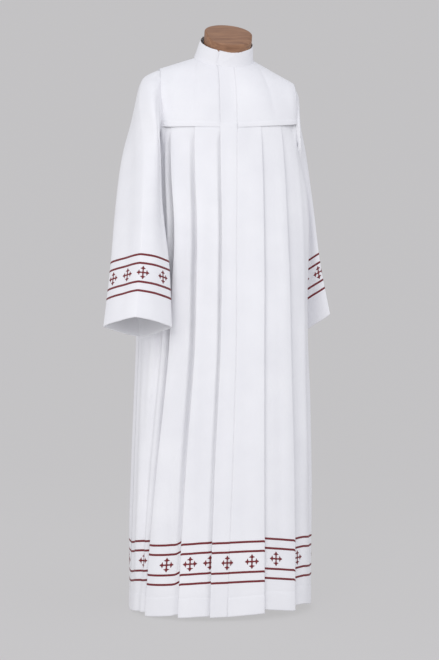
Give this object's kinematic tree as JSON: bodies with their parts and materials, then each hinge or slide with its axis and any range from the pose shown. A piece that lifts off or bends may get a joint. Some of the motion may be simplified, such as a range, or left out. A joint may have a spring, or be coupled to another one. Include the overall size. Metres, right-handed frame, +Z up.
{
  "type": "alb robe on a limbless dress form",
  "caption": "Long pleated white alb with yoke, stand collar, fly placket, wide sleeves and embroidered bands at hem and cuffs, worn on a limbless dress form.",
  "frame": {"origin": "centre of the stand base's underside, on the surface it stands on", "axes": "+Z up the stand pole; the garment's front faces -Y; +X is the wearer's left"},
  "size_m": [0.6559, 0.4325, 1.5663],
  "materials": {
    "alb_cloth": "fine matt white weave with dark red satin-stitch embroidery",
    "form_jersey": "plain stretched jersey",
    "neck_wood": "satin varnished brown wood",
    "stand_paint": "satin pale paint"
  },
  "bodies": {
    "root": {"yoke_front_right": "alb_cloth", "yoke_front_left": "alb_cloth", "yoke_back": "alb_cloth", "skirt_front_right": "alb_cloth", "skirt_front_left": "alb_cloth", "skirt_back": "alb_cloth", "placket": "alb_cloth", "collar": "alb_cloth", "sleeve_right": "alb_cloth", "sleeve_left": "alb_cloth", "form_torso": "form_jersey", "neck_block": "neck_wood", "stand_pole": "stand_paint", "stand_base": "stand_paint"}
  },
  "joints": []
}
